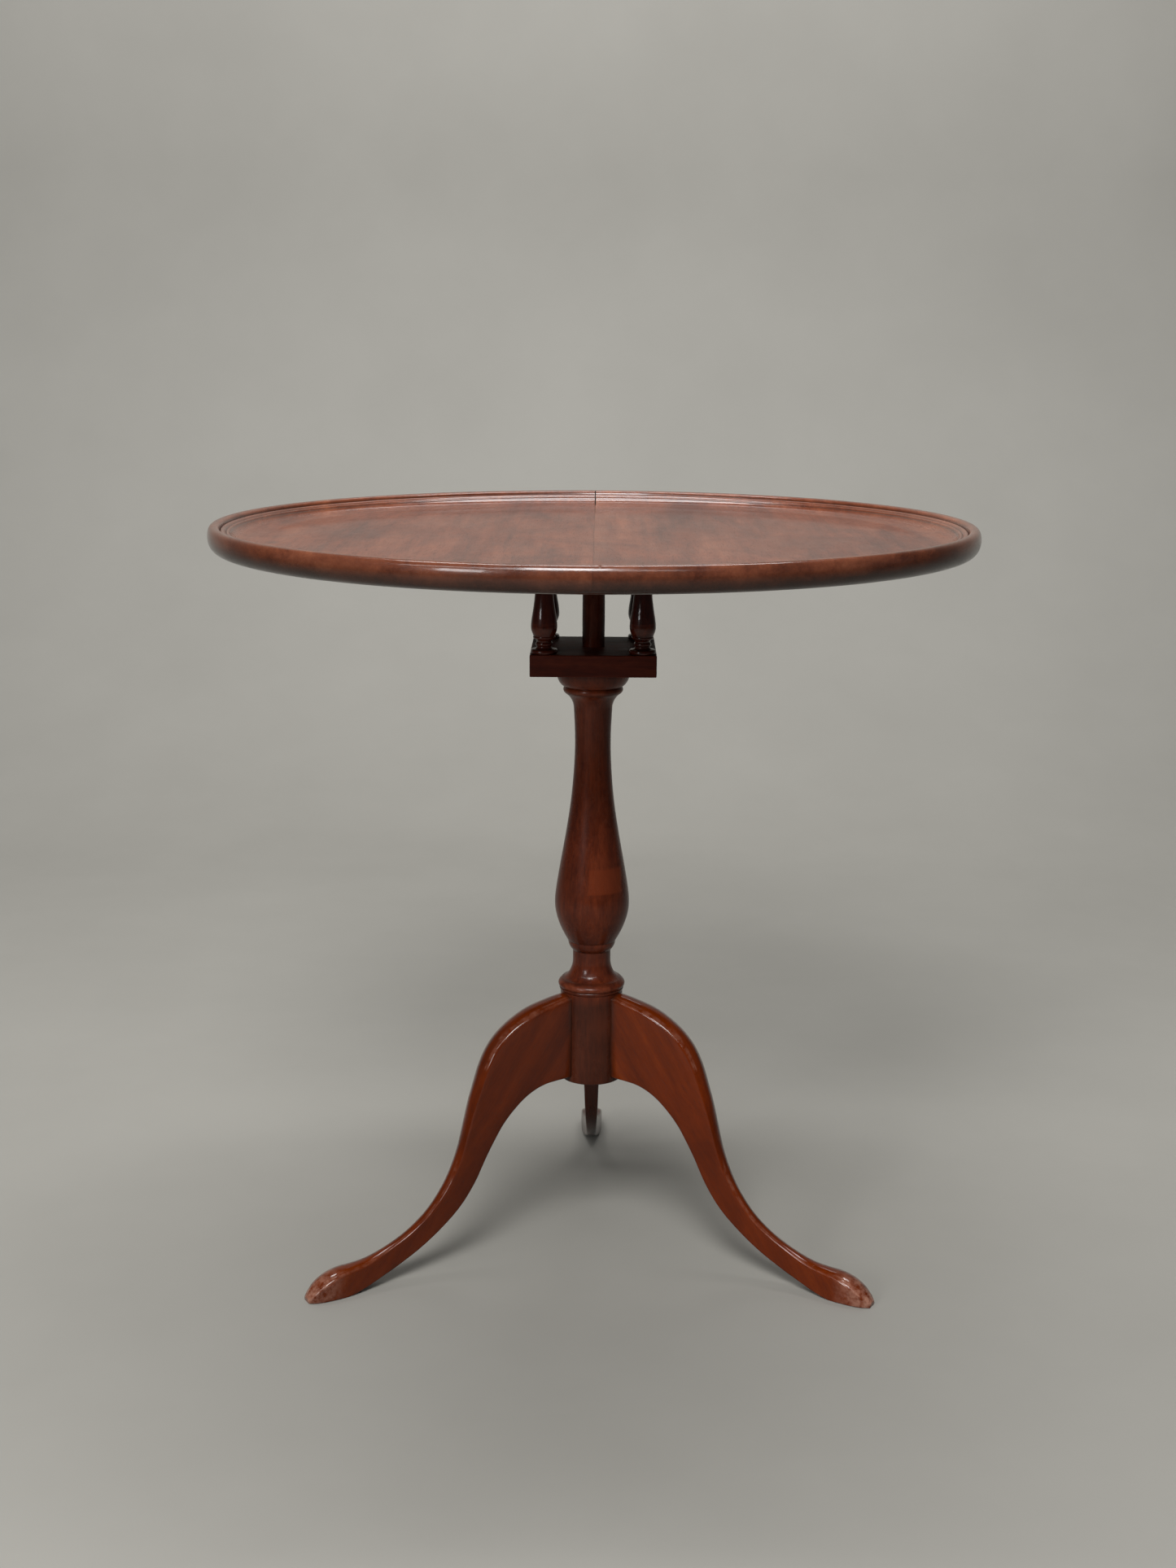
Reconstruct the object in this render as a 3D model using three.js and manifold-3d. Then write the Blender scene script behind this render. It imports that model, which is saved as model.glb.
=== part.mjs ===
// A tilt-top tea table in turned and carved hardwood: a dished round top on a
// birdcage that turns on a tripod pillar. Millimetres, +Z up, the floor at z = 0
// and the pillar's axis on the Z axis. The rear leg points along +Y.
import * as THREE from 'three';
import { mergeVertices } from 'three/addons/utils/BufferGeometryUtils.js';
import Module from 'manifold-3d';

const wasm = await Module();
wasm.setup();

// ---- Driving dimensions ---------------------------------------------------

const GAP = 0.3; // clearance between neighbouring pieces
const ROUND_SEGMENTS = 24; // facets round the pillar and its bores
const FINE_SEGMENTS = 60; // facets round the table top
const SMALL_SEGMENTS = 12; // facets round balusters, tenons and pintles
const SCREW_SEGMENTS = 8;

// Table top
const TOP_RADIUS = 355.6; // a 28 inch top
const TOP_HEIGHT = 716.7; // crest of the rim
const TOP_UNDERSIDE = 693;
const FIELD_HEIGHT = 704.1; // floor of the dish
const FIELD_RADIUS = 324.3;
const SEAM = 0.3; // open joint between the two boards

// Birdcage
const CAGE_WIDTH = 117;
const CAGE_BOARD = 20.4; // thickness of both boards
const LOWER_BOARD_BASE = 578.8;
const LOWER_BOARD_TOP = LOWER_BOARD_BASE + CAGE_BOARD;
const UPPER_BOARD_TOP = TOP_UNDERSIDE - GAP;
const UPPER_BOARD_BASE = UPPER_BOARD_TOP - CAGE_BOARD;
const BALUSTER_OFFSET = 45.4; // baluster axes, in X and in Y
const TENON_RADIUS = 6;
const TENON_LENGTH = 13;

// Tilt hinge: wooden pintles on the upper board turn in the cleats
const HINGE_X = 48;
const HINGE_Z = 681;
const PINTLE_RADIUS = 6;
const PINTLE_LENGTH = 16;
const HINGE_EDGE_RADIUS = UPPER_BOARD_TOP - HINGE_Z;

// Cleats under the top
const CLEAT_INNER = CAGE_WIDTH / 2 + 1; // distance of a cleat's inner face from the middle
const CLEAT_WIDTH = 26;
const CLEAT_DEPTH = 22;
const CLEAT_HALF_LENGTH = 250;
const CLEAT_END_DEPTH = 9; // depth at the tapered ends
const CLEAT_TAPER = 60;
const CLEAT_SCREW_X = [-170, -80, 80, 170];

// Pillar
const HUB_RADIUS = 30.2;
const HUB_BASE = 170;
const PILLAR_SHOULDER = 578.5; // carries the birdcage
const SHAFT_RADIUS = 10.5;
const SHAFT_END = 681.4;
const BORE_RADIUS = SHAFT_RADIUS + GAP;

// Legs
const LEG_DIRECTIONS = { leg_left: 210, leg_right: 330, leg_rear: 90 }; // degrees from +X
const TONGUE_INNER = 17.5; // dovetail tongue: distance of its inner face from the axis
const TONGUE_OUTER = 31;
const TONGUE_HALF_WIDE = 6.6;
const TONGUE_HALF_NARROW = 4.4;
const TONGUE_BASE = 177;
const TONGUE_TOP = 252;

// Sliding catch
const CATCH_Z = 684; // middle of the bolt
const BOLT_WIDTH = 12;
const BOLT_DEPTH = 5;
const BOLT_LENGTH = 40;
const CATCH_TRAVEL = 8;
const CASE_LENGTH = 38;
const CASE_WIDTH = 22;
const CASE_BASE = 679;
const CASE_FRONT = -62; // end of the case that faces the birdcage
const FLANGE = 1.5;
const FLANGE_WIDTH = 44;
const BOLT_TIP = CASE_FRONT + 1.2; // where the withdrawn bolt ends
const KNOB_STEM = 2; // radius
const KNOB_X = CASE_FRONT - CASE_LENGTH / 2 - CATCH_TRAVEL / 2;
const KNOB_BASE = 667;
const STRIKE_THICKNESS = 1.5;

// Wood screws
const CLEAT_SCREW_LENGTH = 29;
const CATCH_SCREW_LENGTH = 9.5;
const CATCH_SCREW_INSET = 7; // from the ends of the catch's case
const STRIKE_SCREW_LENGTH = 11;
const SCREW_POINT = 4; // length of a screw's tapered point

// ---- Materials ------------------------------------------------------------

function material(color, roughness, metalness = 0) {
  return new THREE.MeshStandardMaterial({ color, roughness, metalness });
}

const fieldWood = material(0x96705f, 0.45);
const pillarWood = material(0x4a1c12, 0.3);
const legWood = material(0x70340f, 0.32);
const cageWood = material(0x2e110b, 0.35);
const cleatWood = material(0x5a2c1a, 0.55);
const brass = material(0x9a7a3c, 0.4, 1);
const steel = material(0x6b6660, 0.5, 1);

// ---- Solids ---------------------------------------------------------------

// Welds a geometry's corners, drops collapsed triangles and turns the faces outwards.
function solidFrom(geometry) {
  geometry.deleteAttribute('normal');
  geometry.deleteAttribute('uv');
  const welded = mergeVertices(geometry, 1e-4);
  const position = welded.attributes.position;
  const corner = (i) => new THREE.Vector3().fromBufferAttribute(position, i);
  const triangles = [];
  let volume = 0;
  for (let i = 0; i < welded.index.count; i += 3) {
    const [a, b, c] = [0, 1, 2].map((k) => welded.index.getX(i + k));
    if (a === b || b === c || c === a) continue;
    triangles.push([a, b, c]);
    volume += corner(a).dot(corner(b).cross(corner(c)));
  }
  const outward = volume > 0 ? triangles : triangles.map(([a, b, c]) => [a, c, b]);
  return new wasm.Manifold(
    new wasm.Mesh({
      numProp: 3,
      vertProperties: new Float32Array(position.array),
      triVerts: new Uint32Array(outward.flat()),
    }),
  );
}

function geometryFrom(solid) {
  const mesh = solid.getMesh();
  const geometry = new THREE.BufferGeometry();
  geometry.setAttribute('position', new THREE.BufferAttribute(mesh.vertProperties, 3));
  geometry.setIndex(new THREE.BufferAttribute(mesh.triVerts, 1));
  geometry.computeVertexNormals();
  return geometry;
}

// A box given by its lowest and highest corners.
function box(low, high) {
  const size = high.map((value, i) => value - low[i]);
  const middle = high.map((value, i) => (value + low[i]) / 2);
  return solidFrom(new THREE.BoxGeometry(...size).translate(...middle));
}

// A turning about the Z axis, from a path of (radius, height) that starts and ends on it.
function turned(path, segments = ROUND_SEGMENTS, divisions = 2) {
  const points = path.getPoints(divisions);
  return solidFrom(new THREE.LatheGeometry(points, segments).rotateX(Math.PI / 2));
}

// A round bar between two heights on an upright axis at (x, y).
function bar(radius, low, high, x = 0, y = 0, segments = SMALL_SEGMENTS) {
  const geometry = new THREE.CylinderGeometry(radius, radius, high - low, segments);
  return solidFrom(geometry.rotateX(Math.PI / 2).translate(x, y, (low + high) / 2));
}

// A round bar along Y, from y = low to y = high.
function barAlongY(radius, low, high, x, z, segments = SMALL_SEGMENTS) {
  const geometry = new THREE.CylinderGeometry(radius, radius, high - low, segments);
  return solidFrom(geometry.translate(x, (low + high) / 2, z));
}

// A flat outline in X and Y, raised from z = low to z = high.
function slab(outline, low, high) {
  const shape = new THREE.Shape(outline.map(([x, y]) => new THREE.Vector2(x, y)));
  const geometry = new THREE.ExtrudeGeometry(shape, { depth: high - low, bevelEnabled: false });
  return solidFrom(geometry.translate(0, 0, low));
}

// An outline in X and Z, carried along Y from y = low to y = high.
function slabAlongY(outline, low, high) {
  const shape = new THREE.Shape(outline.map(([x, z]) => new THREE.Vector2(x, z)));
  const geometry = new THREE.ExtrudeGeometry(shape, { depth: high - low, bevelEnabled: false });
  return solidFrom(geometry.rotateX(Math.PI / 2).translate(0, high, 0));
}

function turnedAboutZ(solid, degrees) {
  return solid.rotate([0, 0, degrees]);
}

const table = new THREE.Group();

function add(group, name, solid, woodOrMetal) {
  const mesh = new THREE.Mesh(geometryFrom(solid), woodOrMetal);
  mesh.name = name;
  group.add(mesh);
  return mesh;
}

// ---- Fasteners ------------------------------------------------------------

// A countersunk wood screw that points up, its head flush with the origin.
const SCREW = { head: 4, headDepth: 2.6, shank: 1.9, slotWidth: 0.9, slotDepth: 0.8 };

function woodScrew(length) {
  const { head, headDepth, shank, slotWidth, slotDepth } = SCREW;
  const path = new THREE.Path();
  path.moveTo(0, 0);
  path.lineTo(head, 0);
  path.lineTo(shank, headDepth);
  path.lineTo(shank, length - SCREW_POINT);
  path.lineTo(0, length);
  const slot = box([-head - 1, -slotWidth / 2, -1], [head + 1, slotWidth / 2, slotDepth]);
  return turned(path, SCREW_SEGMENTS).subtract(slot);
}

// The hole that such a screw sits in, wider and deeper all round by the clearance.
function screwHole(length) {
  const { head, headDepth, shank } = SCREW;
  const path = new THREE.Path();
  path.moveTo(0, -2);
  path.lineTo(head + GAP, -2);
  path.lineTo(head + GAP, GAP);
  path.lineTo(shank + GAP, headDepth + GAP);
  path.lineTo(shank + GAP, length + GAP);
  path.lineTo(0, length + GAP);
  return turned(path, SCREW_SEGMENTS);
}

function placed(solid, [x, y, z]) {
  return solid.translate([x, y, z]);
}

// ---- Table top: two glued boards with a moulded rim -------------------------

const cleatScrews = [];
for (const side of [-1, 1]) {
  for (const x of CLEAT_SCREW_X) {
    const y = side * (CLEAT_INNER + CLEAT_WIDTH / 2);
    cleatScrews.push([x, y, TOP_UNDERSIDE - GAP - CLEAT_DEPTH]);
  }
}

const caseBack = CASE_FRONT - CASE_LENGTH;
const flangeTop = TOP_UNDERSIDE - GAP;
const catchScrews = [];
for (const x of [caseBack + CATCH_SCREW_INSET, CASE_FRONT - CATCH_SCREW_INSET]) {
  for (const side of [-1, 1]) {
    catchScrews.push([x, (side * (FLANGE_WIDTH + CASE_WIDTH)) / 4, flangeTop - FLANGE]);
  }
}

function dishedDisc() {
  const path = new THREE.Path();
  path.moveTo(0, TOP_UNDERSIDE);
  path.lineTo(343, TOP_UNDERSIDE);
  path.bezierCurveTo(351.5, TOP_UNDERSIDE, TOP_RADIUS, 699, TOP_RADIUS, 707);
  path.bezierCurveTo(TOP_RADIUS, 712.8, 353.8, TOP_HEIGHT, 349.6, TOP_HEIGHT);
  path.bezierCurveTo(345.8, TOP_HEIGHT, 344.3, 714.6, 344.1, 711.2); // inside of the roll
  path.quadraticCurveTo(342.6, 714.8, 338.7, 710.6); // upper bead
  path.quadraticCurveTo(336.8, 712.4, 335.0, 709.4); // lower bead
  path.lineTo(334.2, 709.0);
  path.quadraticCurveTo(330.5, 704.9, 325.6, 704.7); // cove
  path.lineTo(FIELD_RADIUS, FIELD_HEIGHT);
  path.lineTo(0, FIELD_HEIGHT);
  return turned(path, FINE_SEGMENTS, 3);
}

function tableTop() {
  const group = new THREE.Group();
  let disc = dishedDisc();
  for (const position of cleatScrews) {
    disc = disc.subtract(placed(screwHole(CLEAT_SCREW_LENGTH), position));
  }
  for (const position of catchScrews) {
    disc = disc.subtract(placed(screwHole(CATCH_SCREW_LENGTH), position));
  }
  const reach = TOP_RADIUS + 5;
  const rightHalf = box([SEAM / 2, -reach, 0], [reach, reach, TOP_HEIGHT + 5]);
  const leftHalf = box([-reach, -reach, 0], [-SEAM / 2, reach, TOP_HEIGHT + 5]);
  add(group, 'top_board_left', disc.intersect(leftHalf), fieldWood);
  add(group, 'top_board_right', disc.intersect(rightHalf), fieldWood);
  return group;
}

// ---- Cleats: battens across the grain that also carry the hinge -------------

function cleat(side) {
  const top = TOP_UNDERSIDE - GAP;
  const base = top - CLEAT_DEPTH;
  const shoulder = CLEAT_HALF_LENGTH - CLEAT_TAPER;
  const outline = [
    [-CLEAT_HALF_LENGTH, top],
    [-CLEAT_HALF_LENGTH, top - CLEAT_END_DEPTH],
    [-shoulder, base],
    [shoulder, base],
    [CLEAT_HALF_LENGTH, top - CLEAT_END_DEPTH],
    [CLEAT_HALF_LENGTH, top],
  ];
  const inner = side * CLEAT_INNER;
  const outer = side * (CLEAT_INNER + CLEAT_WIDTH);
  let solid = slabAlongY(outline, Math.min(inner, outer), Math.max(inner, outer));
  const holeEnd = side * (CAGE_WIDTH / 2 + PINTLE_LENGTH + GAP);
  const [low, high] = [Math.min(0, holeEnd), Math.max(0, holeEnd)];
  solid = solid.subtract(barAlongY(PINTLE_RADIUS + GAP, low, high, HINGE_X, HINGE_Z));
  for (const position of cleatScrews.filter(([, y]) => y * side > 0)) {
    solid = solid.subtract(placed(screwHole(CLEAT_SCREW_LENGTH), position));
  }
  return solid;
}

function cleats() {
  const group = new THREE.Group();
  add(group, 'cleat_front', cleat(-1), cleatWood);
  add(group, 'cleat_rear', cleat(1), cleatWood);
  cleatScrews.forEach((position, i) => {
    const screw = placed(woodScrew(CLEAT_SCREW_LENGTH), position);
    add(group, `cleat_screw_${i + 1}`, screw, steel);
  });
  return group;
}

// ---- Sliding catch under the top ------------------------------------------

function catchCase() {
  const body = box([caseBack, -CASE_WIDTH / 2, CASE_BASE], [CASE_FRONT, CASE_WIDTH / 2, flangeTop]);
  const flange = box(
    [caseBack, -FLANGE_WIDTH / 2, flangeTop - FLANGE],
    [CASE_FRONT, FLANGE_WIDTH / 2, flangeTop],
  );
  const channel = box(
    [caseBack - 1, -BOLT_WIDTH / 2 - GAP, CATCH_Z - BOLT_DEPTH / 2 - GAP],
    [CASE_FRONT + 1, BOLT_WIDTH / 2 + GAP, CATCH_Z + BOLT_DEPTH / 2 + GAP],
  );
  const slotLow = KNOB_X - KNOB_STEM - 2 * GAP;
  const slotHigh = KNOB_X + KNOB_STEM + CATCH_TRAVEL + 2 * GAP;
  const slot = box(
    [slotLow, -KNOB_STEM - GAP, CASE_BASE - 1],
    [slotHigh, KNOB_STEM + GAP, CATCH_Z],
  );
  let solid = body.add(flange).subtract(channel).subtract(slot);
  for (const position of catchScrews) {
    solid = solid.subtract(placed(screwHole(CATCH_SCREW_LENGTH), position));
  }
  return solid;
}

function catchBolt() {
  const [half, depth] = [BOLT_WIDTH / 2, BOLT_DEPTH / 2];
  const outline = [
    [BOLT_TIP - BOLT_LENGTH, -half],
    [BOLT_TIP - 2, -half],
    [BOLT_TIP, -half + 2],
    [BOLT_TIP, half - 2],
    [BOLT_TIP - 2, half],
    [BOLT_TIP - BOLT_LENGTH, half],
  ];
  const socket = bar(KNOB_STEM + GAP, CATCH_Z - depth - 1, CATCH_Z + 1, KNOB_X, 0);
  return slab(outline, CATCH_Z - depth, CATCH_Z + depth).subtract(socket);
}

function catchKnob() {
  const path = new THREE.Path();
  path.moveTo(0, KNOB_BASE);
  path.quadraticCurveTo(5.2, KNOB_BASE, 5.2, KNOB_BASE + 3.4);
  path.quadraticCurveTo(5.2, KNOB_BASE + 6.4, 2.8, KNOB_BASE + 7.6);
  path.lineTo(2.8, KNOB_BASE + 9.4);
  path.lineTo(KNOB_STEM, KNOB_BASE + 10.4);
  path.lineTo(KNOB_STEM, CATCH_Z + 0.6);
  path.lineTo(0, CATCH_Z + 0.6);
  return placed(turned(path, SMALL_SEGMENTS, 3), [KNOB_X, 0, 0]);
}

function slidingCatch() {
  const group = new THREE.Group();
  add(group, 'catch_case', catchCase(), brass);
  add(group, 'catch_bolt', catchBolt(), brass);
  add(group, 'catch_knob', catchKnob(), brass);
  catchScrews.forEach((position, i) => {
    const screw = placed(woodScrew(CATCH_SCREW_LENGTH), position);
    add(group, `catch_screw_${i + 1}`, screw, brass);
  });
  return group;
}

// ---- Birdcage -------------------------------------------------------------

// The corners of the square of balusters, named by their side.
const balusterPlaces = {
  baluster_front_left: [-BALUSTER_OFFSET, -BALUSTER_OFFSET],
  baluster_front_right: [BALUSTER_OFFSET, -BALUSTER_OFFSET],
  baluster_rear_left: [-BALUSTER_OFFSET, BALUSTER_OFFSET],
  baluster_rear_right: [BALUSTER_OFFSET, BALUSTER_OFFSET],
};

function squareBoard(base, top) {
  const half = CAGE_WIDTH / 2;
  const bevel = 1.2;
  const inset = half - bevel;
  const shape = new THREE.Shape();
  shape.moveTo(-inset, -inset);
  shape.lineTo(inset, -inset);
  shape.lineTo(inset, inset);
  shape.lineTo(-inset, inset);
  const geometry = new THREE.ExtrudeGeometry(shape, {
    depth: top - base - 2 * bevel,
    bevelEnabled: true,
    bevelSize: bevel,
    bevelThickness: bevel,
    bevelSegments: 2,
    curveSegments: 2,
  });
  return solidFrom(geometry.translate(0, 0, base + bevel));
}

function lowerBoard() {
  let solid = squareBoard(LOWER_BOARD_BASE, LOWER_BOARD_TOP);
  const bore = bar(
    BORE_RADIUS,
    LOWER_BOARD_BASE - 1,
    LOWER_BOARD_TOP + 1,
    0,
    0,
    ROUND_SEGMENTS,
  );
  solid = solid.subtract(bore);
  for (const [x, y] of Object.values(balusterPlaces)) {
    const socketBase = LOWER_BOARD_TOP - TENON_LENGTH - GAP;
    solid = solid.subtract(bar(TENON_RADIUS + GAP, socketBase, LOWER_BOARD_TOP + 1, x, y));
  }
  return solid;
}

// The strike plate and its two screws sit in the upper board's end, opposite the hinge.
const strike = {
  face: -CAGE_WIDTH / 2,
  halfWidth: 17.5,
  base: 677,
  top: 691,
  screwY: 12,
  pocketDepth: 12,
};

const COUNTERBORE_FLOOR = UPPER_BOARD_TOP - 11.6;
const COUNTERBORE_RADIUS = 17;

function upperBoard() {
  let solid = squareBoard(UPPER_BOARD_BASE, UPPER_BOARD_TOP);
  // The hinge-side edge is rounded about the hinge axis so that it clears the top as it tilts.
  const half = CAGE_WIDTH / 2;
  const waste = box([HINGE_X, -half - 1, HINGE_Z], [half + 1, half + 1, UPPER_BOARD_TOP + 1]);
  const round = barAlongY(HINGE_EDGE_RADIUS, -half - 2, half + 2, HINGE_X, HINGE_Z, 32);
  solid = solid.subtract(waste.subtract(round));
  for (const side of [-1, 1]) {
    const [near, far] = [side * (half - 2), side * (half + PINTLE_LENGTH)];
    const [low, high] = [Math.min(near, far), Math.max(near, far)];
    solid = solid.add(barAlongY(PINTLE_RADIUS, low, high, HINGE_X, HINGE_Z));
  }
  solid = solid.subtract(
    bar(BORE_RADIUS, UPPER_BOARD_BASE - 1, UPPER_BOARD_TOP + 1, 0, 0, ROUND_SEGMENTS),
  );
  solid = solid.subtract(
    bar(COUNTERBORE_RADIUS, COUNTERBORE_FLOOR, UPPER_BOARD_TOP + 1, 0, 0, ROUND_SEGMENTS),
  );
  for (const [x, y] of Object.values(balusterPlaces)) {
    const socketTop = UPPER_BOARD_BASE + TENON_LENGTH + GAP;
    solid = solid.subtract(bar(TENON_RADIUS + GAP, UPPER_BOARD_BASE - 1, socketTop, x, y));
  }
  const { face, halfWidth, base, top, pocketDepth } = strike;
  const recess = box(
    [face - 1, -halfWidth - GAP, base - GAP],
    [face + STRIKE_THICKNESS + GAP, halfWidth + GAP, top + GAP],
  );
  const pocket = box(
    [face - 1, -BOLT_WIDTH / 2 - 2 * GAP, CATCH_Z - BOLT_DEPTH / 2 - 2 * GAP],
    [face + pocketDepth, BOLT_WIDTH / 2 + 2 * GAP, CATCH_Z + BOLT_DEPTH / 2 + 2 * GAP],
  );
  solid = solid.subtract(recess).subtract(pocket);
  for (const side of [-1, 1]) {
    solid = solid.subtract(strikeScrewAt(screwHole(STRIKE_SCREW_LENGTH), side));
  }
  return solid;
}

// Turns an upward screw or screw hole to point along +X and moves it to the strike plate.
function strikeScrewAt(solid, side) {
  return solid.rotate([0, 90, 0]).translate([strike.face, side * strike.screwY, CATCH_Z]);
}

function strikePlate() {
  const { face, halfWidth, base, top } = strike;
  let solid = box([face, -halfWidth, base], [face + STRIKE_THICKNESS, halfWidth, top]);
  const mouth = box(
    [face - 1, -BOLT_WIDTH / 2 - GAP, CATCH_Z - BOLT_DEPTH / 2 - GAP],
    [face + 3, BOLT_WIDTH / 2 + GAP, CATCH_Z + BOLT_DEPTH / 2 + GAP],
  );
  solid = solid.subtract(mouth);
  for (const side of [-1, 1]) {
    solid = solid.subtract(strikeScrewAt(screwHole(STRIKE_SCREW_LENGTH), side));
  }
  return solid;
}

function baluster() {
  const foot = LOWER_BOARD_TOP + GAP;
  const head = UPPER_BOARD_BASE - GAP;
  const path = new THREE.Path();
  path.moveTo(0, foot - TENON_LENGTH);
  path.lineTo(TENON_RADIUS, foot - TENON_LENGTH);
  path.lineTo(TENON_RADIUS, foot);
  path.lineTo(12.2, foot);
  path.quadraticCurveTo(13, foot + 2, 11.6, foot + 3.8); // base disc
  path.lineTo(8.2, foot + 4.2);
  path.quadraticCurveTo(6.9, foot + 5.2, 7.0, foot + 6.6);
  path.quadraticCurveTo(9.0, foot + 8.6, 7.0, foot + 10.6); // bead
  path.quadraticCurveTo(7.0, foot + 12.6, 9.6, foot + 13.6);
  path.quadraticCurveTo(10.8, foot + 14.9, 9.9, foot + 16.0); // ring
  path.splineThru(
    [[12.1, 22.8], [11.7, 31], [10.1, 41], [8.8, 51], [8.4, 57.5]].map(
      ([radius, height]) => new THREE.Vector2(radius, foot + height),
    ),
  );
  path.quadraticCurveTo(8.3, foot + 60, 9.8, foot + 61);
  path.quadraticCurveTo(10.8, foot + 62.2, 9.8, foot + 63.4); // upper ring
  path.quadraticCurveTo(7.2, foot + 64.8, 8.6, head - 5.2);
  path.lineTo(11.4, head - 4.4);
  path.quadraticCurveTo(12.6, head - 2, 11.8, head); // top disc
  path.lineTo(TENON_RADIUS, head);
  path.lineTo(TENON_RADIUS, head + TENON_LENGTH);
  path.lineTo(0, head + TENON_LENGTH);
  return turned(path, SMALL_SEGMENTS);
}

function birdcage() {
  const group = new THREE.Group();
  add(group, 'cage_lower_board', lowerBoard(), cageWood);
  add(group, 'cage_upper_board', upperBoard(), cageWood);
  for (const [name, [x, y]] of Object.entries(balusterPlaces)) {
    add(group, name, baluster(), cageWood).position.set(x, y, 0);
  }
  add(group, 'strike_plate', strikePlate(), brass);
  for (const [i, side] of [-1, 1].entries()) {
    const screw = strikeScrewAt(woodScrew(STRIKE_SCREW_LENGTH), side);
    add(group, `strike_screw_${i + 1}`, screw, brass);
  }
  return group;
}

// ---- Pillar ---------------------------------------------------------------

// The turned outline: hub, base ring, neck, vase, shaft, capital, cage spindle.
function pillarOutline() {
  const path = new THREE.Path();
  path.moveTo(0, HUB_BASE);
  path.lineTo(HUB_RADIUS - 1.5, HUB_BASE);
  path.lineTo(HUB_RADIUS, HUB_BASE + 1.5);
  path.lineTo(HUB_RADIUS, 260.4);
  path.quadraticCurveTo(32, 262, 31, 263.4); // small bead under the base ring
  path.quadraticCurveTo(33.6, 266.2, 31.4, 269); // base ring
  path.lineTo(29, 271.6);
  path.quadraticCurveTo(23.2, 273.2, 20.8, 279.4); // cove up to the neck
  path.quadraticCurveTo(18.4, 284.4, 18.3, 290);
  path.lineTo(18.3, 300.6);
  path.lineTo(19.6, 302);
  path.quadraticCurveTo(22.8, 305.4, 23, 310.4); // fillet under the vase
  path.splineThru(
    [[24.4, 312.4], [30.4, 324], [34.7, 337], [36, 348.5], [34.8, 363], [31, 386.5], [25, 420.4],
      [20.4, 452.7], [17.7, 484.7], [17.1, 513], [18.5, 541.8]].map(
      ([radius, height]) => new THREE.Vector2(radius, height),
    ),
  );
  path.quadraticCurveTo(20, 550.4, 26.8, 554.6); // cove under the capital
  path.quadraticCurveTo(30, 557.6, 27.4, 560.8); // capital bead
  path.quadraticCurveTo(33.2, 563.2, 35.2, 573); // capital
  path.lineTo(35.2, PILLAR_SHOULDER - 0.8);
  path.lineTo(34.4, PILLAR_SHOULDER);
  path.lineTo(SHAFT_RADIUS, PILLAR_SHOULDER);
  path.lineTo(SHAFT_RADIUS, SHAFT_END - 0.6);
  path.lineTo(SHAFT_RADIUS - 0.6, SHAFT_END);
  path.lineTo(0, SHAFT_END);
  return path;
}

// A dovetail in plan, pointing along +X; grow widens it all round to make the socket.
function dovetail(low, high, grow = 0) {
  const [wide, narrow] = [TONGUE_HALF_WIDE + grow, TONGUE_HALF_NARROW + grow];
  const inner = TONGUE_INNER - grow;
  const outer = TONGUE_OUTER + grow;
  return slab([[inner, -wide], [outer, -narrow], [outer, narrow], [inner, wide]], low, high);
}

const SPINDLE_SCREW = { head: 5.5, headBase: 683.9, headTop: 687.2, shank: 2.6, length: 32 };

function pillar() {
  let solid = turned(pillarOutline());
  for (const direction of Object.values(LEG_DIRECTIONS)) {
    const socket = dovetail(HUB_BASE - 1, TONGUE_TOP + GAP, GAP);
    solid = solid.subtract(turnedAboutZ(socket, direction));
  }
  const { headBase, shank, length } = SPINDLE_SCREW;
  return solid.subtract(bar(shank + GAP, headBase - length - GAP, SHAFT_END + 1));
}

// A brass washer on the spindle's end holds the birdcage down; a screw holds the washer.
function retainingWasher() {
  const { shank } = SPINDLE_SCREW;
  const [low, high] = [SHAFT_END + GAP, SHAFT_END + GAP + 1.8];
  return bar(15, low, high, 0, 0, ROUND_SEGMENTS).subtract(bar(shank + GAP, low - 1, high + 1));
}

function retainingScrew() {
  const { head, headBase, headTop, shank, length } = SPINDLE_SCREW;
  const path = new THREE.Path();
  path.moveTo(0, headBase - length);
  path.lineTo(shank, headBase - length + 5);
  path.lineTo(shank, headBase);
  path.lineTo(head, headBase);
  path.quadraticCurveTo(head, headTop, 0, headTop);
  const slot = box([-head - 1, -0.6, headTop - 1.2], [head + 1, 0.6, headTop + 1]);
  return turned(path, SMALL_SEGMENTS, 3).subtract(slot);
}

// ---- Legs -----------------------------------------------------------------

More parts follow.
